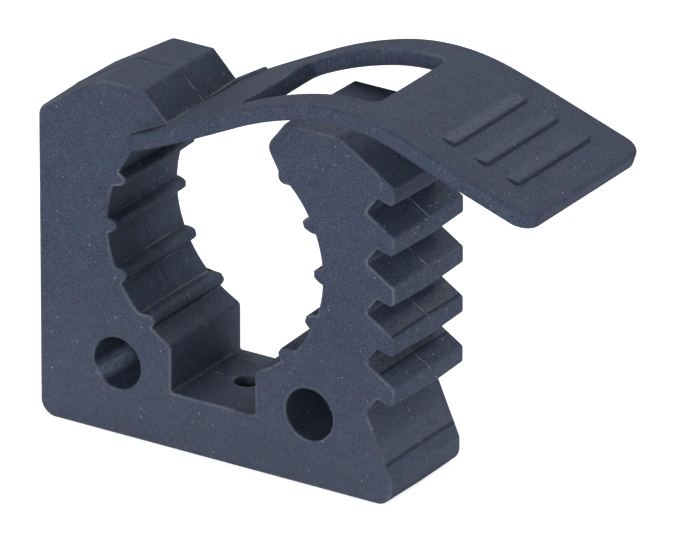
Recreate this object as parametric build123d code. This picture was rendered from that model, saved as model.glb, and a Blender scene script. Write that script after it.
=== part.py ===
from build123d import *
import os
from math import acos, asin, cos, degrees, hypot, radians, sin, sqrt, tan

# Rubber clamp moulded as one piece: a block with a ribbed bowl, a strap that
# grows out of the left arm and reaches over the bowl, and a right arm with
# hooked teeth. The strap's window drops over the right arm, and the bar beyond
# the window then catches under a tooth. The strap is modelled open, as moulded.
#
# Millimetres. The origin is the middle of the bolt hole on the underside.
# X runs from the strap's root to its tab, Y goes back and Z goes up.
# The block's side view is drawn on the parting plane, Y = 0, and drafted
# from there to the front and back faces.

# Block
block_depth = 31.75
left_reach = 51.3
right_reach = 52.4
foot_radius = 4.2
draft_angle = 1.0
face_edge_chamfer = 0.3

# Left arm: its head slopes down to the outside, and inside down to the strap
left_head_height = 94.8
left_head_inner = 19.9
left_shoulder_height = 83.2
left_head_slope = 31.0
left_inner_slope = 45.7
left_shoulder_radius = 4.0
left_crown_radius = 4.0
head_corner_radius = 0.8

# Right arm: a nose overhangs the bowl, and hooked teeth point out and down
right_head_height = 95.7
right_head_inner = 21.2
nose_reach = 15.5
nose_height = 88.3
nose_radius = 3.5
lip_angle = 29.0
lip_reach = 18.9
lip_height = 78.8
lip_radius = 1.9
lip_root_radius = 0.8
crown_radius = 1.5
tooth_count = 5
tooth_pitch = 13.4
first_notch_height = 23.7
tooth_tip_reach = 53.2
tooth_length = 8.1
tooth_slope = 32.0
tooth_tip_height = 5.9
hook_depth = 5.1
hook_angle = 17.5
tooth_top_radius = 0.9
tooth_hook_radius = 1.3
notch_radius = 0.6
flare_height = 7.2
flare_radius = 3.0

# Bowl, with ribs that grip what it holds. A side's ribs are evenly spaced from
# its top rib, in degrees above the middle, down to its room over the channel.
bowl_radius = 31.3
bowl_offset = 0.6
bowl_height = 56.4
rib_count = 4
left_top_rib = 24.4
right_top_rib = 26.4
left_rib_room = 16.1
right_rib_room = 20.4
rib_lean = 0.35
rib_rise = 2.7
rib_flank_angle = 41.0
rib_tip_radius = 1.2

# Bolt channel under the bowl
channel_width = 24.2
floor_thickness = 15.3
channel_lip_radius = 1.6
channel_corner_radius = 0.6
bolt_hole_diameter = 7.2

# Two bores through the block from front to back
cross_bore_diameter = 13.7
cross_bore_spacing = 56.5
cross_bore_height = 19.1

# Strap: its upper side leaves the left arm straight, then bends over twice
strap_thickness = 4.4
strap_start_x = -25.5
strap_start_z = 81.2
strap_rise = 26.0
strap_root_length = 39.5
first_bend_radius = 97.0
first_bend_angle = 13.4
second_bend_radius = 56.0
second_bend_angle = 31.2
tab_length = 39.4
strap_bury = 4.0

# Strap seen from above: it flares from the block's depth to the rails
rail_width = 46.6
tab_width = 52.4
rail_start_x = 6.0
tab_start_x = 68.0
tab_corner_radius = 5.5
strap_edge_round = 0.9

# Window through the strap, which passes the right arm with a little room
window_clearance = 0.3
window_start = 37.2
window_length = 41.6
window_corner_radius = 2.6
window_edge_chamfer = 0.4

# Raised bars across the tab for the thumb
grip_bar_count = 3
first_grip_bar = 9.6
grip_bar_pitch = 9.55
grip_bar_width = 4.0
grip_bar_rise = 1.0
grip_bar_length = 33.0

half_depth = block_depth / 2
side_view = Plane.XZ
cut_room = 12.0


def slope(angle):
    """Rise over run of a line at this angle in degrees."""
    return tan(radians(angle))


def nearest_corner(sketch, x, z):
    """The vertex of a side-view sketch nearest to a corner that was drawn."""
    return min(sketch.vertices(), key=lambda v: hypot(v.X - x, v.Y - z))


def front_to_back(solid):
    """The straight edges that run through the block's depth."""
    return [edge for edge in solid.edges() if abs((edge % 0.5).Y) > 0.9]


def on_parting_plane(edge):
    """The end of a front-to-back edge on the parting plane."""
    return max(edge.vertices(), key=lambda v: v.Y)


def tooth_corners():
    """Corners of the toothed side, from the lowest notch up to the top hook."""
    tip_top = tooth_pitch - tooth_length * slope(tooth_slope)
    tip_bottom = tip_top - tooth_tip_height
    notch_top = tip_bottom + hook_depth * slope(hook_angle)
    corners = []
    for tooth in range(tooth_count):
        base = first_notch_height + tooth * tooth_pitch
        corners.append((tooth_tip_reach - tooth_length, base, notch_radius))
        corners.append((tooth_tip_reach - hook_depth, base + notch_top, notch_radius))
        corners.append((tooth_tip_reach, base + tip_bottom, tooth_hook_radius))
        corners.append((tooth_tip_reach, base + tip_top, tooth_top_radius))
    return corners


def right_side_corners():
    """The right arm's corners, from the foot's flare round to the lip."""
    teeth = tooth_corners()
    top_hook_x, top_hook_z, _ = teeth[-1]
    crown_x = top_hook_x - (right_head_height - top_hook_z) / slope(tooth_slope)
    lip_top = nose_height - (lip_reach - nose_reach) / slope(lip_angle)
    return [
        (right_reach, flare_height, flare_radius),
        *teeth,
        (crown_x, right_head_height, crown_radius),
        (right_head_inner, right_head_height, head_corner_radius),
        (nose_reach, nose_height, nose_radius),
        (lip_reach, lip_top, lip_root_radius),
        (lip_reach, lip_height, lip_radius),
    ]


def left_side_corners():
    """The left head's corners, from its inner edge round to the shoulder."""
    crown_run = (left_head_height - left_shoulder_height) / slope(left_head_slope)
    return [
        (-left_head_inner, left_head_height, head_corner_radius),
        (crown_run - left_reach, left_head_height, left_crown_radius),
        (-left_reach, left_shoulder_height, left_shoulder_radius),
    ]


def buried_corners():
    """The outline's way from the lip to the left head, through bowl and strap.

    It ends halfway down into the strap, whose upper side the left head's slope
    meets first.
    """
    steepness = slope(left_inner_slope) + slope(strap_rise)
    strap_top = strap_start_z - (left_head_inner + strap_start_x) * slope(strap_rise)
    slope_run = (left_head_height - strap_top) / steepness
    slope_run += strap_thickness / 2 / cos(radians(strap_rise)) / steepness
    half_strap = strap_thickness / 2
    return [
        (bowl_offset, bowl_height),
        (
            strap_start_x + half_strap * sin(radians(strap_rise)),
            strap_start_z - half_strap * cos(radians(strap_rise)),
        ),
        (
            slope_run - left_head_inner,
            left_head_height - slope_run * slope(left_inner_slope),
        ),
    ]


def channel_edge(side):
    """Where the channel's wall on one side meets the bowl, side -1 or 1."""
    x = side * channel_width / 2
    return x, bowl_height - sqrt(bowl_radius**2 - (x - bowl_offset) ** 2)


def rib_places():
    """Where each rib stands on the bowl's wall, and the way that it points."""
    places = []
    for side, top, room in ((-1, left_top_rib, left_rib_room), (1, right_top_rib, right_rib_room)):
        edge_x, _ = channel_edge(side)
        lowest = room - degrees(acos(side * (edge_x - bowl_offset) / bowl_radius))
        for rib in range(rib_count):
            angle = top + rib * (lowest - top) / (rib_count - 1)
            x = bowl_offset + side * bowl_radius * cos(radians(angle))
            z = bowl_height + bowl_radius * sin(radians(angle))
            lean = (1 - rib_lean) * angle
            places.append((x, z, 180 + lean if side > 0 else -lean))
    return places


def rib_reach():
    """How far a rib's point would stand from the wall if it were sharp."""
    return rib_rise + rib_tip_radius * (1 / sin(radians(rib_flank_angle)) - 1)


def rib_section():
    """A rib's side view: a sharp wedge that points along X from the wall."""
    tip = rib_reach()
    depth = 2 * rib_rise
    half_base = (tip + depth) * slope(rib_flank_angle)
    return make_face(Polyline((-depth, -half_base), (tip, 0), (-depth, half_base), close=True))


def block_side_view():
    """The block seen from the front, with sharp corners."""
    right = [(x, z) for x, z, _ in right_side_corners()]
    left = [(x, z) for x, z, _ in left_side_corners()]
    foot = [(-left_reach, -cut_room), (right_reach, -cut_room)]
    profile = make_face(Polyline(*foot, *right, *buried_corners(), *left, close=True))

    opening = Pos(bowl_offset, bowl_height) * Circle(bowl_radius)
    for x, z, way in rib_places():
        opening -= Pos(x, z) * Rot(0, 0, way) * rib_section()
    lip = Rectangle(bowl_radius, bowl_radius, align=(Align.MIN, Align.MIN))
    opening -= Pos(lip_reach, lip_height) * lip
    channel_top = bowl_height - bowl_radius / 2
    channel_height = channel_top - floor_thickness
    channel = Rectangle(channel_width, channel_height, align=(Align.CENTER, Align.MIN))
    opening += Pos(0, floor_thickness) * channel
    return profile - opening


def block_rounds():
    """The side view's corners that are rounded, each with its radius."""
    rounds = right_side_corners() + left_side_corners()
    rounds += [(-left_reach, 0, foot_radius), (right_reach, 0, foot_radius)]
    for side in (-1, 1):
        wall, lip_z = channel_edge(side)
        rounds.append((wall, lip_z, channel_lip_radius))
        rounds.append((wall, floor_thickness, channel_corner_radius))
    lip_root = bowl_offset + sqrt(bowl_radius**2 - (lip_height - bowl_height) ** 2)
    rounds.append((lip_root, lip_height, lip_root_radius))
    tip = rib_reach()
    for x, z, way in rib_places():
        turn = radians(way)
        rounds.append((x + tip * cos(turn), z + tip * sin(turn), rib_tip_radius))
    return rounds


def half_block():
    """The block's front half, drafted forwards from the parting plane, then rounded."""
    slab = extrude(side_view * block_side_view(), half_depth)
    walls = [face for face in slab.faces() if abs(face.normal_at().Y) < 0.5]
    half = draft(walls, side_view, draft_angle)
    half -= Pos(0, 0, -cut_room) * Box(4 * right_reach, 2 * block_depth, 2 * cut_room)

    rounds = block_rounds()
    for radius in sorted({radius for _, _, radius in rounds}):
        ends = [(on_parting_plane(edge), edge) for edge in front_to_back(half)]
        corners = []
        for x, z, corner_radius in rounds:
            if corner_radius == radius:
                corners.append(min(ends, key=lambda end: hypot(end[0].X - x, end[0].Z - z))[1])
        half = fillet(corners, radius)

    for side in (-1, 1):
        middle = Pos(side * cross_bore_spacing / 2, 0, cross_bore_height)
        half -= middle * Cylinder(cross_bore_diameter / 2, 2 * block_depth, rotation=(90, 0, 0))
    front = half.faces().sort_by(Axis.Y)[0]
    half = chamfer(front.edges(), face_edge_chamfer)
    return half - Cylinder(bolt_hole_diameter / 2, 3 * floor_thickness)


def strap_line(depth):
    """The strap's side view at a depth below its upper side: line, two bends, tab."""
    rise = radians(strap_rise)
    way = Vector(cos(rise), sin(rise))
    down = Vector(sin(rise), -cos(rise))
    start = Vector(strap_start_x, strap_start_z) + down * depth - way * strap_bury
    root = Line(start, start + way * (strap_root_length + strap_bury))
    first = JernArc(root @ 1, root % 1, first_bend_radius - depth, -first_bend_angle)
    second = JernArc(first @ 1, first % 1, second_bend_radius - depth, -second_bend_angle)
    tab = Line(second @ 1, (second @ 1) + (second % 1) * tab_length)
    return [root, first, second, tab]


def strap_station(distance):
    """A side-view plane on the strap's upper side, at a distance along it.

    Its X runs on along the strap and its Y points up out of the strap.
    """
    line = Wire(strap_line(0))
    run = distance + strap_bury
    spot = line.position_at(run, position_mode=PositionMode.LENGTH)
    way = line.tangent_at(run, position_mode=PositionMode.LENGTH)
    return Plane(origin=spot, x_dir=way, z_dir=(0, 0, 1))


def strap_plan():
    """The front half of the strap's outline from above: flare, rail and tab."""
    half_rail = rail_width / 2
    flare_run = rail_start_x - strap_start_x
    flare_rise = half_rail - half_depth
    flare_bend = (flare_run**2 + flare_rise**2) / (2 * flare_rise)
    flare_turn = degrees(asin((flare_run + strap_bury) / flare_bend))
    reach = (strap_line(0)[-1] @ 1).X + cut_room
    flare = JernArc((rail_start_x, -half_rail), (-1, 0), flare_bend, -flare_turn)
    root = flare @ 1
    rest = Polyline(
        (rail_start_x, -half_rail),
        (tab_start_x, -tab_width / 2),
        (reach, -tab_width / 2),
        (reach, 0),
        (root.X, 0),
        root,
    )
    return make_face(Wire([flare, *rest.edges()]))


def half_window():
    """The front half of the window's opening, with ends square to the strap."""
    start = strap_station(window_start)
    end = strap_station(window_start + window_length)
    above = Vector(0, cut_room)
    below = Vector(0, -strap_thickness - cut_room)
    corners = [
        station.from_local_coords(offset)
        for station, offset in ((start, above), (end, above), (end, below), (start, below))
    ]
    half_width = half_depth + window_clearance
    opening = extrude(side_view * make_face(Polyline(*corners, close=True)), half_width)
    front = opening.faces().sort_by(Axis.Y)[0].edges().sort_by(Axis.X)
    return fillet([front[0], front[-1]], window_corner_radius)


def half_grip_bar(distance):
    """Half of a raised bar on the tab: a ramp going outwards, then a steep step."""
    sunk = -strap_thickness / 4
    corners = [
        (-grip_bar_width, sunk),
        (-grip_bar_width, 0),
        (-grip_bar_width / 3, grip_bar_rise),
        (-grip_bar_width / 6, grip_bar_rise),
        (0, 0),
        (0, sunk),
    ]
    section = make_face(Polyline(*corners, close=True))
    for x, z in corners[2:4]:
        section = fillet(nearest_corner(section, x, z), grip_bar_rise / 4)
    return extrude(side_view * (strap_station(distance) * section), grip_bar_length / 2)


def half_strap():
    """The strap's front half, with its window, rounded tab and bars."""
    top, bottom = strap_line(0), strap_line(strap_thickness)
    ends = [Line(top[0] @ 0, bottom[0] @ 0), Line(top[-1] @ 1, bottom[-1] @ 1)]
    strap = extrude(side_view * make_face(Wire(top + bottom + ends)), tab_width)
    strap &= extrude(strap_plan(), 2 * right_head_height)
    tab_end = strap.faces().sort_by(Axis.X)[-1]
    strap = fillet(tab_end.edges().sort_by(Axis.Y)[0], tab_corner_radius)

    rims = []
    for face in strap.faces():
        middle = face.center()
        is_wall = abs(face.normal_at().Z) < 0.5
        if is_wall and middle.Y < -0.01 and middle.X > strap_start_x:
            rims += [edge for edge in face.edges() if abs((edge % 0.5).Z) < 0.5]
    strap = fillet(rims, strap_edge_round)

    window = half_window()
    pierced = strap - window
    rims = new_edges(strap, window, combined=pierced)
    strap = chamfer(rims, window_edge_chamfer)
    bends_end = strap_root_length
    bends_end += radians(first_bend_angle) * first_bend_radius
    bends_end += radians(second_bend_angle) * second_bend_radius
    for bar in range(grip_bar_count):
        strap += half_grip_bar(bends_end + first_grip_bar + bar * grip_bar_pitch)
    return strap


def rubber_clamp():
    """The whole clamp: its front half, and the same half mirrored."""
    half = half_block() + half_strap()
    return half + mirror(half, side_view)


os.makedirs("parts", exist_ok=True)
export_step(rubber_clamp(), "parts/rubber_clamp.step")
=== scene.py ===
# Rubber clamp on a plain white floor: looks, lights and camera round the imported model
import math

import bmesh
import bpy
import numpy as np
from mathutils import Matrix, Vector


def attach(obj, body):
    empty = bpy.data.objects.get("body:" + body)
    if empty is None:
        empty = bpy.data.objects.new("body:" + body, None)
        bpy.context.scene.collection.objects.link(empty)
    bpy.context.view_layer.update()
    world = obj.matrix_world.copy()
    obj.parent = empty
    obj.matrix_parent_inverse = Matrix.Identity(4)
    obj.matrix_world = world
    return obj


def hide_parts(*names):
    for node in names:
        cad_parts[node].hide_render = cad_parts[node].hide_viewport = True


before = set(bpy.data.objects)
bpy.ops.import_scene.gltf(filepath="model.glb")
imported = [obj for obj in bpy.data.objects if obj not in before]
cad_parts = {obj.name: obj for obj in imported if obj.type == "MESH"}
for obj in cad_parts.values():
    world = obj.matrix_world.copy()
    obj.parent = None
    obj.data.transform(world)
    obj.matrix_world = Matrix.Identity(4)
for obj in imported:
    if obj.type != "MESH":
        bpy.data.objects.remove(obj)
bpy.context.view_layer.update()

mm = 0.001  # metres


def say(text):
    print("clamp: " + text)


def addObject(name, data):
    thing = bpy.data.objects.new(name, data)
    bpy.context.scene.collection.objects.link(thing)
    return thing


# Small helpers for node materials

def newMaterial(name):
    material = bpy.data.materials.new(name)
    material.use_nodes = True
    material.node_tree.nodes.clear()
    return material


def setInput(tree, socket, value):
    # a value is either another node's output or a constant
    if isinstance(value, bpy.types.NodeSocket):
        tree.links.new(value, socket)
    else:
        socket.default_value = value


def addNode(tree, kind, inputs=None, **settings):
    node = tree.nodes.new(kind)
    for key, value in settings.items():
        setattr(node, key, value)
    for key, value in (inputs or {}).items():
        setInput(tree, node.inputs[key], value)
    return node


def calc(tree, operation, first, second=0.0, clamp=False):
    node = addNode(tree, "ShaderNodeMath", {0: first, 1: second}, operation=operation, use_clamp=clamp)
    return node.outputs[0]


def times(tree, first, *others):
    for value in others:
        first = calc(tree, "MULTIPLY", first, value)
    return first


def ramp(tree, value, low, high, fromValue=0.0, toValue=1.0):
    # straight ramp: low gives fromValue, high gives toValue, held outside
    node = addNode(tree, "ShaderNodeMapRange",
                   {0: value, 1: low, 2: high, 3: fromValue, 4: toValue})
    return node.outputs[0]


def mixColour(tree, share, first, second):
    node = addNode(tree, "ShaderNodeMix", data_type="RGBA")
    for key, value in ((0, share), (6, first), (7, second)):
        setInput(tree, node.inputs[key], value)
    return node.outputs[2]


def split(tree, vector):
    return addNode(tree, "ShaderNodeSeparateXYZ", {0: vector}).outputs


def vectorMath(tree, operation, first, second=(0.0, 0.0, 0.0)):
    return addNode(tree, "ShaderNodeVectorMath", {0: first, 1: second}, operation=operation).outputs


def noise(tree, coords, sizeInMm, detail=2.0, roughness=0.5):
    # a noise's scale is how often it repeats in a metre
    node = addNode(tree, "ShaderNodeTexNoise", {
        "Vector": coords,
        "Scale": 1.0 / (sizeInMm * mm),
        "Detail": detail,
        "Roughness": roughness,
    })
    return node.outputs[0]


# Rubber: matt blue-black, mottled, with bright specks and pale edges that are partly wear and partly painted
# highlight.
# Lengths here and below are in mm, angles in degrees

rubber = {
    "colour": (0.061, 0.083, 0.148, 1.0),
    "paleColour": (0.27, 0.29, 0.34, 1.0),
    "darkColour": (0.009, 0.014, 0.030, 1.0),
    "greenTint": (0.052, 0.104, 0.110, 1.0),
    "purpleTint": (0.094, 0.074, 0.140, 1.0),
    "roughness": 0.60,
    "specular": 0.24,
    "softReach": 1.4,  # how wide the edges' soft shading is
    "raySamples": 6,  # for the cavities and the rounded normals
    "bumpStrength": 0.35,
    "bumpRise": 0.12,
    "speckRise": 0.4,
}


def rubberShader(tree, colour, extra=None):
    inputs = {
        "Base Color": colour,
        "Roughness": rubber["roughness"],
        "Specular IOR Level": rubber["specular"],
    }
    shader = addNode(tree, "ShaderNodeBsdfPrincipled", {**inputs, **(extra or {})})
    addNode(tree, "ShaderNodeOutputMaterial", {"Surface": shader.outputs[0]})


def roundedNormal(tree, flat, reach):
    # The normal of an edge rounded over the reach, and how far it agrees with the flat one
    node = addNode(tree, "ShaderNodeBevel", {"Radius": reach * mm}, samples=rubber["raySamples"])
    return node.outputs[0], vectorMath(tree, "DOT_PRODUCT", node.outputs[0], flat)["Value"]


def surfaceFacts(tree):
    # What the steps below read: place, facing, how open the spot is and how near to an edge
    coords = addNode(tree, "ShaderNodeTexCoord").outputs["Object"]
    across, along, height = split(tree, coords)
    flat = addNode(tree, "ShaderNodeNewGeometry").outputs["Normal"]
    soft, bent = roundedNormal(tree, flat, rubber["softReach"])
    openShare = addNode(tree, "ShaderNodeAmbientOcclusion", {"Distance": cavities["reach"] * mm},
                        samples=rubber["raySamples"], only_local=True).outputs["AO"]
    return {
        "coords": coords,
        "across": across,
        "along": along,
        "height": height,
        "flat": flat,
        "facing": split(tree, flat)[2],
        "soft": soft,
        "bent": bent,
        "open": openShare,
    }


# Bores: left out of the painted cavity shade, with a painted highlight: a pale streak along the left one's
# outer wall

bores = {
    "middle": 28.25,  # how far each bore's axis is from the middle
    "height": 19.1,  # above the underside
    "radius": 6.85,
    "margin": (0.05, 0.15),  # past the radius, where the wall's looks fade out
    "streakAngle": 34.0,  # below level
    "streakHalf": 0.3,  # fully pale this far to either side of its middle line
    "streakSoft": 3.0,  # and gone this far
    "streakWall": (2.0, 4.0),  # how far outward from the axis the streak fades in
    "leftFade": 1.0,
    "streakStretch": (1.0, 0.2, 1.0),  # the grains are drawn out along the bore
    "streakNoise": (0.8, 3.0, 0.7),  # size, detail and roughness
    "streakRamp": (0.32, 0.62, 0.35, 1.0),  # two values of the noise, then the shares there
    "streakShare": 0.95,
    "streakColour": (0.56, 0.70, 1.0, 1.0),
}


def nearBore(tree, facts):
    # How far a point is from the nearer bore's axis, outward and up, and 1 outside the bores
    outward = calc(tree, "SUBTRACT", calc(tree, "ABSOLUTE", facts["across"]), bores["middle"] * mm)
    above = calc(tree, "SUBTRACT", facts["height"], bores["height"] * mm)
    spoke = addNode(tree, "ShaderNodeCombineXYZ", {0: outward, 1: above}).outputs[0]
    length = vectorMath(tree, "LENGTH", spoke)["Value"]
    start, end = (bores["radius"] + step for step in bores["margin"])
    return outward, above, ramp(tree, length, start * mm, end * mm)


def paintBoreHighlight(tree, colour, facts, outward, above, outside):
    # The streak is a painted highlight on the bore's lit wall
    # The two axes are turned by the streak's angle: one runs to its middle, one across it
    turn = math.radians(bores["streakAngle"])
    beside = calc(tree, "ADD", times(tree, outward, math.sin(turn)), times(tree, above, math.cos(turn)))
    toWall = calc(tree, "SUBTRACT", times(tree, outward, math.cos(turn)), times(tree, above, math.sin(turn)))
    near, far = bores["streakWall"]
    onLeft = ramp(tree, facts["across"], 0.0, -bores["leftFade"] * mm)
    onWall = times(tree, ramp(tree, toWall, near * mm, far * mm), onLeft)
    strip = ramp(tree, calc(tree, "ABSOLUTE", beside), bores["streakSoft"] * mm, bores["streakHalf"] * mm)
    drawn = vectorMath(tree, "MULTIPLY", facts["coords"], bores["streakStretch"])[0]
    grains = ramp(tree, noise(tree, drawn, *bores["streakNoise"]), *bores["streakRamp"])
    inside = calc(tree, "SUBTRACT", 1.0, outside)
    share = times(tree, strip, grains, onWall, inside, bores["streakShare"])
    return mixColour(tree, share, colour, bores["streakColour"])


# Painted shade in cavities: the share of nearby directions that are blocked darkens the colour

cavities = {
    "reach": 14.0,
    "open": 0.95,  # share of open directions where the darkening starts
    "shut": 0.45,  # and where it is full
    "share": 0.48,
}


def paintCavityShade(tree, colour, facts, outside):
    share = ramp(tree, facts["open"], cavities["open"], cavities["shut"], 0.0, cavities["share"])
    return mixColour(tree, times(tree, share, outside), colour, rubber["darkColour"])


# Mottling: each cloud mixes in one colour where its noise is high and another where it is low

middleValue = 0.5  # of a noise
clouds = {
    # noise: size, detail and roughness
    # span: how far from the middle value a share starts, and where it is full
    # high, low: the full share and the colour that it mixes in
    "large": {
        "noise": (5.0, 2.0, 0.5),
        "span": (0.0, 0.25),
        "high": (0.05, "paleColour"),
        "low": (0.15, "darkColour"),
    },
    "small": {
        "noise": (1.6, 2.0, 0.5),
        "span": (0.0, 0.25),
        "high": (0.04, "paleColour"),
        "low": (0.12, "darkColour"),
    },
    "tint": {
        "noise": (3.2, 1.0, 0.5),
        "span": (0.02, 0.20),
        "high": (0.35, "greenTint"),
        "low": (0.35, "purpleTint"),
    },
    "grain": {
        "noise": (0.42, 2.0, 0.7),
        "span": (0.0, 0.30),
        "high": (0.34, "paleColour"),
        "low": (0.80, "darkColour"),
    },
}


def mottle(tree, colour, facts):
    # The last cloud is the grain, which the relief uses again
    for cloud in clouds.values():
        value = noise(tree, facts["coords"], *cloud["noise"])
        start, full = cloud["span"]
        for sign, (most, tint) in ((1, cloud["high"]), (-1, cloud["low"])):
            share = ramp(tree, value, middleValue + sign * start, middleValue + sign * full, 0.0, most)
            colour = mixColour(tree, share, colour, rubber[tint])
    return colour, value


# Painted light: upright faces are a little paler towards the floor, for light bounced up from it

floorBounceLight = {
    "height": 42.0,
    "share": 0.12,
    "upright": (0.2, 0.7),  # upward share of the normal where the painted light starts to fade and is gone
}


def paintFloorBounceLight(tree, colour, facts):
    steep, level = floorBounceLight["upright"]
    upright = ramp(tree, calc(tree, "ABSOLUTE", facts["facing"]), steep, level, 1.0, 0.0)
    low = ramp(tree, facts["height"], floorBounceLight["height"] * mm, 0.0, 0.0, floorBounceLight["share"])
    return mixColour(tree, times(tree, low, upright), colour, rubber["paleColour"])


# Specks: a few of the cells of a random pattern have a small bright middle, more on crests

specks = {
    "spacing": 1.9,
    "radius": 0.27,
    "core": 0.04,  # share of the spacing that is fully bright
    "rarity": 0.66,
    "crest": (0.995, 0.90),  # agreement of the normals where a crest starts and is full
    "crestShare": 0.5,
    "colour": (0.55, 0.57, 0.62, 1.0),
}


def addSpecks(tree, colour, facts):
    cells = addNode(tree, "ShaderNodeTexVoronoi", {
        "Vector": facts["coords"],
        "Scale": 1.0 / (specks["spacing"] * mm),
    })
    middle = ramp(tree, cells.outputs["Distance"], specks["radius"] / specks["spacing"], specks["core"])
    draw = addNode(tree, "ShaderNodeSeparateColor", {0: cells.outputs["Color"]}).outputs[0]
    start, full = specks["crest"]
    crest = ramp(tree, facts["bent"], start, full, 0.0, specks["crestShare"])
    chosen = calc(tree, "ADD", ramp(tree, draw, specks["rarity"], 1.0), crest, clamp=True)
    return mixColour(tree, times(tree, middle, chosen), colour, specks["colour"]), middle


# Thumb bars: lower than a plain wedge and upright on their outer side, with a painted highlight on each and
# a painted shadow at its foot

bars = {
    "tabSlope": 18.6,
    "tabStart": 69.0,  # only points right of this x may move
    "rise": 1.0,  # of the plain wedges
    "skin": 0.05,  # a point less high than this belongs to the tab
    "crestShare": 0.8,  # a point higher than this share of the rise belongs to a crest
    "riseShare": 0.6,  # what is kept of the height
    "shear": 0.6,  # how far a point moves outward for its height
    "width": 4.0,  # of a bar, from its inner foot to its crest
    "halfLength": 16.3,
    "endFade": 0.6,
    "topFacing": (0.2, 0.4),  # upward share of the normal where the painted highlights and shadows start and are full
    "highlightShares": (0.05, 0.08, 0.16),  # how strong each bar's painted highlight is, from the tab's end inwards
    "highlightMargins": (0.4, 0.6),  # the painted highlight fades in between these, round its start
    "highlightEnd": 0.15,
    "highlightNoise": (1.4, 3.0, 0.7),  # size, detail and roughness
    "highlightRamp": (0.35, 0.65, 0.3, 1.6),  # two values of the noise, then the shares there
    "footShadowWidth": 0.7,
    "footShadowEnd": 0.2,
    "footShadowShare": 0.55,
}


def moveVerts(verts, steps):
    # steps in mm, in x and z
    for vert, step in zip(verts, steps):
        vert.co.x += step[0] * mm
        vert.co.z += step[1] * mm


def trimBars(work):
    # Gives back how far along the tab's slope each trimmed crest is, from the tab's end inwards
    slope = math.radians(bars["tabSlope"])
    outward = np.array((math.cos(slope), -math.sin(slope)))
    normal = np.array((math.sin(slope), math.cos(slope)))
    verts = [v for v in work.verts if v.co.x > bars["tabStart"] * mm]
    spots = np.array([(v.co.x, v.co.z) for v in verts]) / mm
    level = spots @ normal
    height = level - (level.max() - bars["rise"])
    height[height < bars["skin"]] = 0
    crests = np.sort((spots @ outward)[height > bars["crestShare"] * bars["rise"]])
    gaps = np.flatnonzero(np.diff(crests) > bars["width"])
    # a point moves outward by its height times the shear, and down to a share of its height
    sink = height * (1 - bars["riseShare"])
    moveVerts(verts, np.outer(height * bars["shear"], outward) - np.outer(sink, normal))
    groups = np.split(crests, gaps + 1)[::-1]
    return [group.max() + bars["rise"] * bars["shear"] for group in groups]


def paintBarHighlightsAndShadows(tree, colour, facts, crests):
    # Painted light: a paler band up to each crest is a painted highlight, and a thin dark line at its outer
    # foot a painted shadow
    slope = math.radians(bars["tabSlope"])
    reach = calc(tree, "SUBTRACT", times(tree, facts["across"], math.cos(slope)),
                 times(tree, facts["height"], math.sin(slope)))
    half = bars["halfLength"]
    within = ramp(tree, calc(tree, "ABSOLUTE", facts["along"]), half * mm, (half - bars["endFade"]) * mm)
    top = times(tree, ramp(tree, facts["facing"], *bars["topFacing"]), within)
    patchyHighlight = ramp(tree, noise(tree, facts["coords"], *bars["highlightNoise"]), *bars["highlightRamp"])
    before, after = bars["highlightMargins"]
    for crest, share in zip(crests, bars["highlightShares"]):
        inner = crest - bars["width"]
        outer = crest + bars["footShadowWidth"]
        start = ramp(tree, reach, (inner - before) * mm, (inner + after) * mm)
        end = ramp(tree, reach, crest * mm, (crest + bars["highlightEnd"]) * mm)
        foot = ramp(tree, reach, outer * mm, (outer + bars["footShadowEnd"]) * mm)
        highlightBand = times(tree, calc(tree, "SUBTRACT", start, end, clamp=True), top)
        colour = mixColour(tree, times(tree, highlightBand, patchyHighlight, share), colour, rubber["paleColour"])
        # the dark line at the foot is painted shadow
        line = times(tree, calc(tree, "SUBTRACT", end, foot, clamp=True), top)
        colour = mixColour(tree, times(tree, line, bars["footShadowShare"]), colour, rubber["darkColour"])
    return colour


# Pale edges: outer edges are pale in patches, and wider where they are blunt, but not on the tab; the
# paleness is partly wear and partly a painted highlight on the rounded edges

edgeWearAndHighlight = {
    "reach": 0.55,
    "narrow": (0.995, 0.92),  # agreement of the normals where the pale edge starts and is full
    "wide": (0.95, 0.84),
    "outer": (0.45, 0.70),  # open share where the pale edge starts and is full
    "patchNoise": (9.0, 3.0, 0.6),  # size, detail and roughness
    "patchRamp": (0.40, 0.60, 0.15, 1.0),  # two values of the noise, then the shares there
    "end": 62.0,  # no pale edges right of this x
    "fade": 2.0,
    "share": 0.95,
    "colour": (0.36, 0.40, 0.46, 1.0),
}


def paleEdgesWearAndHighlight(tree, colour, facts):
    agree = roundedNormal(tree, facts["flat"], edgeWearAndHighlight["reach"])[1]
    sharp, blunt = ramp(tree, agree, *edgeWearAndHighlight["narrow"]), ramp(tree, facts["bent"], *edgeWearAndHighlight["wide"])
    edge = calc(tree, "MAXIMUM", sharp, blunt)
    outer = ramp(tree, facts["open"], *edgeWearAndHighlight["outer"])
    patchy = ramp(tree, noise(tree, facts["coords"], *edgeWearAndHighlight["patchNoise"]), *edgeWearAndHighlight["patchRamp"])
    offTab = ramp(tree, facts["across"], edgeWearAndHighlight["end"] * mm, (edgeWearAndHighlight["end"] + edgeWearAndHighlight["fade"]) * mm, 1.0, 0.0)
    share = times(tree, edge, outer, patchy, offTab, edgeWearAndHighlight["share"])
    return mixColour(tree, share, colour, edgeWearAndHighlight["colour"])


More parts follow.
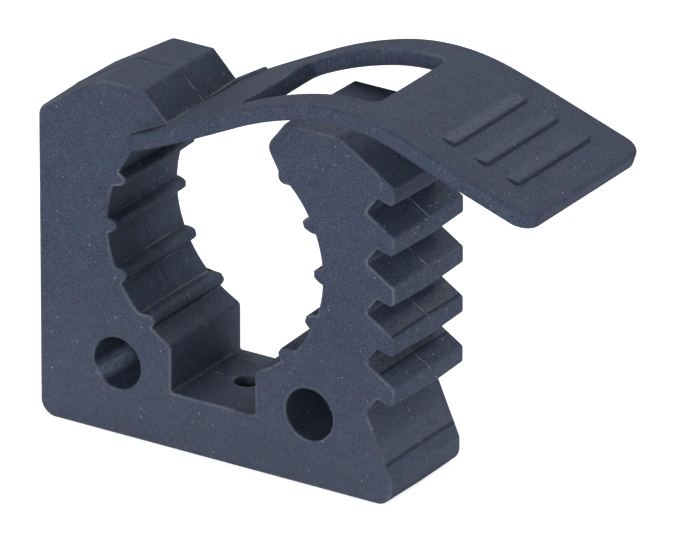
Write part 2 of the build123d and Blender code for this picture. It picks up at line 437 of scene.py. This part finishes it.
def rubberMaterial(crests):
    material = newMaterial("mouldedRubber")
    tree = material.node_tree
    facts = surfaceFacts(tree)
    outward, above, outside = nearBore(tree, facts)
    # painted shade in the cavities
    colour = paintCavityShade(tree, rubber["colour"], facts, outside)
    colour, grain = mottle(tree, colour, facts)
    # painted light bounced up from the floor
    colour = paintFloorBounceLight(tree, colour, facts)
    colour, middle = addSpecks(tree, colour, facts)
    # painted highlights and shadows on the thumb bars
    colour = paintBarHighlightsAndShadows(tree, colour, facts, crests)
    # painted highlight inside the left bore
    colour = paintBoreHighlight(tree, colour, facts, outward, above, outside)
    # pale edges: partly wear, partly painted highlight
    colour = paleEdgesWearAndHighlight(tree, colour, facts)
    # the grain and the specks stand up a little from the soft normal
    bump = addNode(tree, "ShaderNodeBump", {
        "Height": calc(tree, "ADD", grain, times(tree, middle, rubber["speckRise"])),
        "Strength": rubber["bumpStrength"],
        "Distance": rubber["bumpRise"] * mm,
        "Normal": facts["soft"],
    })
    rubberShader(tree, colour, {"Normal": bump.outputs[0]})
    return material


# Ribs: the bowl's ribs are narrower above and fuller on their flanks than a plain wedge

ribs = {
    "bowlCentre": (0.6, 56.4),  # x and z
    "bowlRadius": 31.3,
    "channelHalf": 12.1,
    "count": 4,
    "topAngle": {-1: 24.4, 1: 26.4},  # left and right wall
    "lowestRoom": {-1: 16.1, 1: 20.4},
    "lean": 0.35,
    "rise": 2.7,
    "flankAngle": 41.0,
    "tipRadius": 1.2,
    "draft": 1.0,
    "halfDepth": 15.875,
    "chamfer": 0.3,
    "nearSide": 3.9,  # what lies this near to a rib's foot is cut and moved with it
    "nearDepth": -1.3,
    "nearRise": 3.2,
    "flatFacing": 0.0001,  # how far the y of a front or back face's normal may be from 1
    "flatTurn": 0.5,  # faces that turn by less than this are joined
    "wallFacing": 0.9,  # a face that looks less forwards than this is cut
    "cuts": (1.2, 1.6, 2.0, 2.4),  # how far from the rib's middle
    "cutSnap": 0.0001,  # a point this near to a cut is taken as on it
    "upperShift": {-1: 1.1, 1: 0.6},
    "lowerShift": 0.2,
    "bulge": 0.42,
    "rootShare": 1.03,  # nothing moves past this share of the way to the root
    "wallDepth": -1.2,  # nor deeper in the wall than this
}


def ribPlaces():
    # Each rib's wall (-1 left, 1 right), its foot and its way into the bowl, both in x and z
    places = []
    centre = np.array(ribs["bowlCentre"])
    for wall in (-1, 1):
        edge = wall * (wall * ribs["channelHalf"] - centre[0]) / ribs["bowlRadius"]
        lowest = ribs["lowestRoom"][wall] - math.degrees(math.acos(edge))
        for angle in np.radians(np.linspace(ribs["topAngle"][wall], lowest, ribs["count"])):
            foot = centre + ribs["bowlRadius"] * np.array((wall * math.cos(angle), math.sin(angle)))
            lean = (1 - ribs["lean"]) * angle
            places.append((wall, foot, np.array((-wall * math.cos(lean), -math.sin(lean)))))
    return places


def joinFlatSides(work):
    # The front's and back's triangles are joined first, so that the cuts don't spread over them
    flat = [f for f in work.faces if abs(abs(f.normal.y) - 1) < ribs["flatFacing"]]
    bmesh.ops.dissolve_limit(work, angle_limit=math.radians(ribs["flatTurn"]), use_dissolve_boundaries=False,
                             verts=list({v for f in flat for v in f.verts}),
                             edges=list({e for f in flat for e in f.edges}))


def isNearRib(vert, foot, way, up):
    gap = np.array((vert.co.x, vert.co.z)) / mm - foot
    return abs(gap @ up) < ribs["nearSide"] and ribs["nearDepth"] < gap @ way < ribs["nearRise"]


def cutRib(work, foot, way, up):
    # Cuts along the rib's length give its flanks points to move
    for cut in ribs["cuts"]:
        for sign in (-1, 1):
            faces = [f for f in work.faces if abs(f.normal.y) < ribs["wallFacing"]
                     and all(isNearRib(v, foot, way, up) for v in f.verts)]
            edges = {e for f in faces for e in f.edges}
            verts = {v for f in faces for v in f.verts}
            place = (foot + up * cut * sign) * mm
            bmesh.ops.bisect_plane(work, geom=faces + list(edges) + list(verts), dist=ribs["cutSnap"] * mm,
                                   plane_co=(place[0], 0, place[1]), plane_no=(up[0], 0, up[1]))


def ribSteps(spots, wall, foot, way, up):
    # How far each point moves in x and z, in mm
    flank = math.radians(ribs["flankAngle"])
    reach = ribs["rise"] + ribs["tipRadius"] * (1 / math.sin(flank) - 1)
    centre = np.array(ribs["bowlCentre"])
    gap = spots[:, ::2] - foot
    along, across = gap @ up, gap @ way
    # the draft and the front chamfer bring the flanks in by this much
    depth = np.abs(spots[:, 1])
    inset = depth * math.tan(math.radians(ribs["draft"]))
    inset += np.maximum(depth - (ribs["halfDepth"] - ribs["chamfer"]), 0)
    side = np.where(along > 0, 1.0, -1.0)
    # root: where the flank's line from the sharp point meets the bowl's circle
    point = foot + np.outer(reach - inset / math.sin(flank), way)
    line = -math.cos(flank) * way + np.outer(side * math.sin(flank), up)
    offset = point - centre
    half = np.einsum("ij,ij->i", line, offset)
    excess = np.einsum("ij,ij->i", offset, offset) - (ribs["bowlRadius"] + inset) ** 2
    length = -half + np.sqrt(half ** 2 - excess)
    root = point + line * length[:, None]
    share = along / ((root - foot) @ up)
    # the root slides round the circle towards the rib, the flank follows in proportion
    slide = np.where(side > 0, ribs["upperShift"][wall], ribs["lowerShift"])
    spoke = root - centre
    spoke /= np.linalg.norm(spoke, axis=1)[:, None]
    tangent = np.stack((-spoke[:, 1], spoke[:, 0]), axis=1)
    tangent *= -np.sign((tangent @ up) * side)[:, None]
    place = np.clip(share, 0, 1)
    steps = tangent * (slide * place)[:, None]
    # the bulge is a parabola that is 0 at the root and at the tip
    normal = math.sin(flank) * way + np.outer(side * math.cos(flank), up)
    steps += normal * (ribs["bulge"] * 4 * place * (1 - place))[:, None]
    steps[(share > ribs["rootShare"]) | (across < ribs["wallDepth"])] = 0
    return steps


def roundRibs(work):
    joinFlatSides(work)
    for wall, foot, way in ribPlaces():
        # square to the rib's way, and upwards on either wall
        up = np.array((-way[1], way[0])) * -wall
        cutRib(work, foot, way, up)
        verts = [v for v in work.verts if isNearRib(v, foot, way, up)]
        spots = np.array([tuple(v.co) for v in verts]) / mm
        moveVerts(verts, ribSteps(spots, wall, foot, way, up))
    bmesh.ops.triangulate(work, faces=[f for f in work.faces if len(f.verts) > 3])


# The moulding: the CAD solid with its facets joined, its ribs and bars shaped and its shading smoothed

moulding = {
    "sharpAngle": 52,
    "joinReach": 0.002,
    "normalWeight": 90,  # how much larger faces count in the smooth shading
}


def sharpEdges(mesh, limit):
    # An edge is sharp where its two faces turn by more than the limit:
    # the turn's cosine is the dot product of the two unit normals
    edges = np.empty(len(mesh.loops), dtype=np.int64)
    mesh.loops.foreach_get("edge_index", edges)
    sizes = np.empty(len(mesh.polygons), dtype=np.int64)
    mesh.polygons.foreach_get("loop_total", sizes)
    faces = np.repeat(np.arange(len(sizes)), sizes)
    normals = np.empty(len(sizes) * 3)
    mesh.polygons.foreach_get("normal", normals)
    normals = normals.reshape(-1, 3)
    pairs = faces[np.argsort(edges, kind="stable")].reshape(-1, 2)
    turn = np.einsum("ij,ij->i", normals[pairs[:, 0]], normals[pairs[:, 1]])
    return turn < math.cos(math.radians(limit))


def shapedCopy(node, name):
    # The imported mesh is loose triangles, so its copy is merged before it is shaped and shaded
    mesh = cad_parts[node].data.copy()
    mesh.name = name
    mesh.attributes.remove(mesh.attributes["custom_normal"])
    work = bmesh.new()
    work.from_mesh(mesh)
    bmesh.ops.remove_doubles(work, verts=work.verts, dist=moulding["joinReach"] * mm)
    roundRibs(work)
    crests = trimBars(work)
    work.to_mesh(mesh)
    work.free()
    mesh.shade_smooth()
    marks = mesh.attributes.get("sharp_edge") or mesh.attributes.new("sharp_edge", "BOOLEAN", "EDGE")
    marks.data.foreach_set("value", sharpEdges(mesh, moulding["sharpAngle"]))
    piece = addObject(name, mesh)
    weighted = piece.modifiers.new("weighted", "WEIGHTED_NORMAL")
    weighted.keep_sharp = True
    weighted.weight = moulding["normalWeight"]
    return piece, crests


clamp, barCrests = shapedCopy("rubber_clamp", "mouldedClamp")
clamp.data.materials.clear()
clamp.data.materials.append(rubberMaterial(barCrests))
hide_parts("rubber_clamp")
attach(clamp, "root")
say("moulding, %d faces" % len(clamp.data.polygons))


# Fold: a thin bead where the back half of the strap leaves the head, ending on the strap's back edge

fold = {
    # x, y and z: from the parting line along the root, then along the strap's back edge
    "course": ((-12.9, 0.5, 87.7), (-12.7, 15.2, 87.9), (-7.6, 20.9, 90.2)),
    "radius": 0.55,
    "growth": 0.45,  # share of its length over which it grows to its radius
    "least": 0.02,  # share of the radius left at either end
    "rings": 40,
    "sides": 12,
    "strapRise": 26.0,  # the strap's slope there
}


def foldCourse():
    # Places along the bead, evenly spaced on the course and smoothed once at its corner
    course = np.array(fold["course"])
    runs = np.concatenate(((0,), np.cumsum(np.linalg.norm(np.diff(course, axis=0), axis=1))))
    steps = np.linspace(0, runs[-1], fold["rings"])
    line = np.stack([np.interp(steps, runs, course[:, axis]) for axis in range(3)], axis=1)
    line[1:-1] = (line[:-2] + line[1:-1] + line[2:]) / 3
    return steps, line


def strapFold():
    steps, line = foldCourse()
    way = np.gradient(line, axis=0)
    way /= np.linalg.norm(way, axis=1)[:, None]
    rise = math.radians(fold["strapRise"])
    out = np.array((-math.sin(rise), 0, math.cos(rise)))
    out = out - np.outer(way @ out, (1, 1, 1)) * way
    out /= np.linalg.norm(out, axis=1)[:, None]
    side = np.cross(way, out)
    # the radius grows along the start and closes as a quarter circle at the end
    left = np.clip((steps[-1] - steps) / fold["radius"], 0, 1)
    radius = fold["radius"] * np.clip(steps / (steps[-1] * fold["growth"]), fold["least"], 1)
    radius *= np.sqrt(np.clip(1 - (1 - left) ** 2, fold["least"] ** 2, 1))
    turns = np.linspace(0, 2 * math.pi, fold["sides"], endpoint=False)[None, :, None]
    ring = np.cos(turns) * side[:, None, :] + np.sin(turns) * out[:, None, :]
    verts = (line[:, None, :] + ring * radius[:, None, None]) * mm
    here = np.arange(fold["rings"] * fold["sides"]).reshape(-1, fold["sides"])
    after = np.roll(here, -1, axis=1)
    quads = np.stack((here[:-1], here[1:], after[1:], after[:-1]), axis=2).reshape(-1, 4)
    caps = [here[0].tolist(), here[-1][::-1].tolist()]
    mesh = bpy.data.meshes.new("strapFold")
    mesh.from_pydata(verts.reshape(-1, 3).tolist(), [], quads.tolist() + caps)
    work = bmesh.new()
    work.from_mesh(mesh)
    bmesh.ops.recalc_face_normals(work, faces=work.faces)
    work.to_mesh(mesh)
    work.free()
    mesh.shade_smooth()
    piece = addObject("strapFold", mesh)
    mesh.materials.append(clamp.data.materials[0])
    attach(piece, "root")
    say("strap fold, %d faces" % len(mesh.polygons))


strapFold()


# Parting line: a thin flash along the middle of the block, where the two mould halves met

flash = {
    "rise": 0.09,
    "width": 0.36,
    "sink": 0.03,
    "baseDepth": 0.045,  # how deep its two lower corners are
    "onMiddle": 0.005,  # a point this near to the middle plane is on it
    "leastLength": 1e-9,
    "facingLow": 0.05,  # upward share of the surface's normal where the flash starts
    "facingFull": 0.30,  # and where it is full
    "strapStart": (-8.0, 84.0),  # no flash right of this x above this z
    "paleFrom": (-22.0, -19.0),  # x where the line turns pale
    "patchSize": 2.5,
    "patchRamp": (0.40, 0.60, 0.2, 1.0),  # two values of the noise, then the shares there
    "darkColour": (0.020, 0.028, 0.050, 1.0),
    "paleColour": (0.26, 0.29, 0.34, 1.0),
}


def flashMaterial():
    # Dark on the left head's outer slope and crown, pale on the surfaces right of them: painted shade and
    # painted highlight along the flash
    material = newMaterial("partingLine")
    tree = material.node_tree
    coords = addNode(tree, "ShaderNodeTexCoord").outputs["Object"]
    start, end = (value * mm for value in flash["paleFrom"])
    patchy = ramp(tree, noise(tree, coords, flash["patchSize"]), *flash["patchRamp"])
    pale = times(tree, ramp(tree, split(tree, coords)[0], start, end), patchy)
    rubberShader(tree, mixColour(tree, pale, flash["darkColour"], flash["paleColour"]))
    return material


def middleEdges(mesh):
    # The mesh's edges on the middle plane, off the strap: pairs of points, with places and normals
    spots = np.empty(len(mesh.vertices) * 3)
    mesh.vertices.foreach_get("co", spots)
    spots = spots.reshape(-1, 3)
    normals = np.empty(len(mesh.vertices) * 3)
    mesh.vertices.foreach_get("normal", normals)
    normals = normals.reshape(-1, 3) * (1, 0, 1)
    pairs = np.empty(len(mesh.edges) * 2, dtype=np.int64)
    mesh.edges.foreach_get("vertices", pairs)
    pairs = pairs.reshape(-1, 2)
    strapX, strapZ = np.array(flash["strapStart"]) * mm
    onMiddle = np.abs(spots[:, 1]) < flash["onMiddle"] * mm
    onMiddle &= (spots[:, 0] < strapX) | (spots[:, 2] < strapZ)
    used, pairs = np.unique(pairs[onMiddle[pairs].all(axis=1)], return_inverse=True)
    normals = normals[used]
    normals /= np.maximum(np.linalg.norm(normals, axis=1), flash["leastLength"])[:, None]
    return spots[used], normals, pairs.reshape(-1, 2)


def partingFlash(solid):
    spots, normals, pairs = middleEdges(solid)
    # the rise goes from just under the surface to its full height with the upward share
    share = (normals[:, 2] - flash["facingLow"]) / (flash["facingFull"] - flash["facingLow"])
    rise = np.clip(share, 0, 1) * (flash["rise"] + flash["sink"]) - flash["sink"]
    side = np.array((0, flash["width"] / 2 * mm, 0))
    base = spots - normals * flash["baseDepth"] * mm
    count = len(spots)
    verts = np.concatenate((base - side, spots + normals * rise[:, None] * mm, base + side))
    first, second = pairs.T
    quads = []
    for here, there in ((0, 1), (1, 2), (2, 0)):
        quads.append(np.stack((first + here * count, second + here * count,
                               second + there * count, first + there * count), axis=1))
    quads = np.concatenate(quads)
    # each quad's own normal must point away from the middle of its stretch of flash
    corners = verts[quads]
    own = np.cross(corners[:, 2] - corners[:, 0], corners[:, 3] - corners[:, 1])
    core = (verts[:count] + verts[count:2 * count] + verts[2 * count:]) / 3
    hub = np.tile((core[first] + core[second]) / 2, (3, 1))
    wrong = np.einsum("ij,ij->i", own, corners.mean(axis=1) - hub) < 0
    quads[wrong] = quads[wrong][:, ::-1]
    mesh = bpy.data.meshes.new("partingFlash")
    mesh.from_pydata(verts.tolist(), [], quads.tolist())
    mesh.update()
    piece = addObject("partingFlash", mesh)
    mesh.materials.append(flashMaterial())
    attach(piece, "root")
    say("parting line, %d quads" % len(quads))


partingFlash(clamp.data)


# Floor, lights and camera, in metres

studio = {
    "floorSize": 4.0,
    "floorColour": (0.9, 0.9, 0.9, 1.0),
    "floorGlow": 0.80,
    "white": (1.0, 1.0, 1.0, 1.0),
    "skyColour": (0.95, 0.97, 1.0, 1.0),
    "skyLight": 0.03,
    "middle": (0.026, 0.0, 0.05),
    "lampDistance": 2.0,
    "lampSize": 0.7,
    # each lamp's azimuth and elevation in degrees, as for the camera, and its watts
    "lamps": {
        "front": (-5, 12, 18.4),
        "camera": (33, 24, 3.6),
        "low right": (100, 10, 11.5),
        "overhead": (0, 89, 2.6),
        "back right": (150, 45, 6.4),
        "back left": (-120, 40, 10.0),
        "far back left": (-160, 35, 4.4),
    },
}


def makeFloor():
    # The floor's glow is for the camera only, so that the floor looks white and lights nothing
    half = studio["floorSize"] / 2
    mesh = bpy.data.meshes.new("floor")
    mesh.from_pydata([(-half, -half, 0), (half, -half, 0), (half, half, 0), (-half, half, 0)],
                     [], [(0, 1, 2, 3)])
    floor = addObject("floor", mesh)
    material = newMaterial("paleFloor")
    tree = material.node_tree
    seen = addNode(tree, "ShaderNodeLightPath").outputs["Is Camera Ray"]
    matt = addNode(tree, "ShaderNodeBsdfDiffuse", {"Color": studio["floorColour"]}).outputs[0]
    glow = addNode(tree, "ShaderNodeEmission", {
        "Color": studio["white"],
        "Strength": studio["floorGlow"],
    }).outputs[0]
    both = addNode(tree, "ShaderNodeAddShader", {0: matt, 1: glow}).outputs[0]
    mixed = addNode(tree, "ShaderNodeMixShader", {0: seen, 1: matt, 2: both}).outputs[0]
    addNode(tree, "ShaderNodeOutputMaterial", {"Surface": mixed})
    mesh.materials.append(material)


def makeWorld():
    world = bpy.data.worlds.new("studioWorld")
    world.use_nodes = True
    tree = world.node_tree
    tree.nodes.clear()
    seen = addNode(tree, "ShaderNodeLightPath").outputs["Is Camera Ray"]
    light = addNode(tree, "ShaderNodeBackground", {
        "Color": studio["skyColour"],
        "Strength": studio["skyLight"],
    }).outputs[0]
    white = addNode(tree, "ShaderNodeBackground", {
        "Color": studio["white"],
        "Strength": 1.0,
    }).outputs[0]
    mixed = addNode(tree, "ShaderNodeMixShader", {0: seen, 1: light, 2: white}).outputs[0]
    addNode(tree, "ShaderNodeOutputWorld", {"Surface": mixed})
    bpy.context.scene.world = world


def aim(thing, place, target):
    thing.location = place
    way = Vector(target) - Vector(place)
    thing.rotation_euler = way.to_track_quat("-Z", "Y").to_euler()


def around(azimuth, elevation, distance, middle):
    # A place on a sphere round the middle; azimuth 0 is in front, 90 on the right
    turn, rise = math.radians(azimuth), math.radians(elevation)
    away = Vector((math.sin(turn) * math.cos(rise), -math.cos(turn) * math.cos(rise), math.sin(rise)))
    return Vector(middle) + away * distance


def addLamp(name, azimuth, elevation, power):
    data = bpy.data.lights.new(name, "AREA")
    data.shape = "SQUARE"
    data.size = studio["lampSize"]
    data.energy = power
    place = around(azimuth, elevation, studio["lampDistance"], studio["middle"])
    aim(addObject(name, data), place, studio["middle"])


makeFloor()
makeWorld()
for lampName, (azimuth, elevation, power) in studio["lamps"].items():
    addLamp(lampName, azimuth, elevation, power)
say("floor and lights")

picture = {
    "azimuth": 32.81,
    "elevation": 24.02,
    "distance": 3.926,
    "target": (0.02635, 0.0, 0.05122),
    "lens": 853.33,
    "sensor": 36.0,
    "farthest": 20.0,
}


def makeCamera():
    data = bpy.data.cameras.new("camera")
    data.lens = picture["lens"]
    data.sensor_width = picture["sensor"]
    data.clip_end = picture["farthest"]
    camera = addObject("camera", data)
    place = around(picture["azimuth"], picture["elevation"], picture["distance"], picture["target"])
    aim(camera, place, picture["target"])
    bpy.context.scene.camera = camera


makeCamera()
bpy.context.scene.view_settings.view_transform = "Standard"
say("camera")
